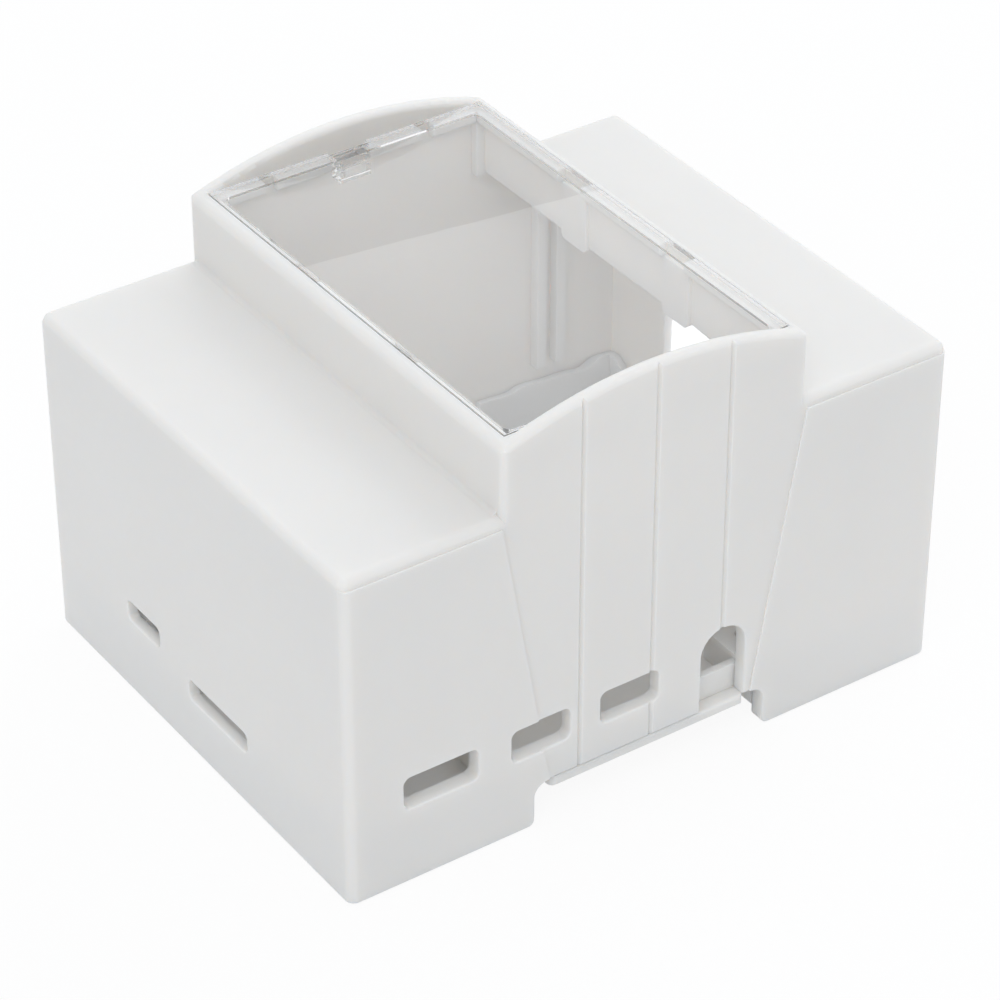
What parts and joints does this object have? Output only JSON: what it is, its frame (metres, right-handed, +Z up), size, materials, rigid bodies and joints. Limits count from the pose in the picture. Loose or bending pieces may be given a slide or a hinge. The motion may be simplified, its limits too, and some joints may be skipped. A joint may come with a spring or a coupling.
{
  "type": "single-board computer case",
  "caption": "White rail-mount case for a single-board computer: stepped arched cover with port cut-outs, clear snap-in window, base with rail channel and sprung sliding latch.",
  "frame": {"origin": "middle of the underside", "axes": "+X across the rail towards the latch, +Y along the rail away from the port face, +Z up"},
  "size_m": [0.09, 0.071, 0.062],
  "materials": {
    "white_plastic": "fine matte moulded white",
    "clear_plastic": "clear polished"
  },
  "bodies": {
    "base": {"base": "white_plastic"},
    "cover": {"cover": "white_plastic"},
    "window": {"window": "clear_plastic"},
    "rail_latch": {"rail_latch": "white_plastic"}
  },
  "joints": [
    {"name": "cover_lift", "type": "slide", "parent": "base", "child": "cover", "axis": [0, 0, 1], "range_m": [0, 0.02]},
    {"name": "window_lift", "type": "slide", "parent": "cover", "child": "window", "axis": [0, 0, 1], "range_m": [0, 0.02]},
    {"name": "latch_slide", "type": "slide", "parent": "base", "child": "rail_latch", "axis": [1, 0, 0], "range_m": [0, 0.003], "stiffness_N_per_m": 1500, "springref_m": -0.003}
  ]
}
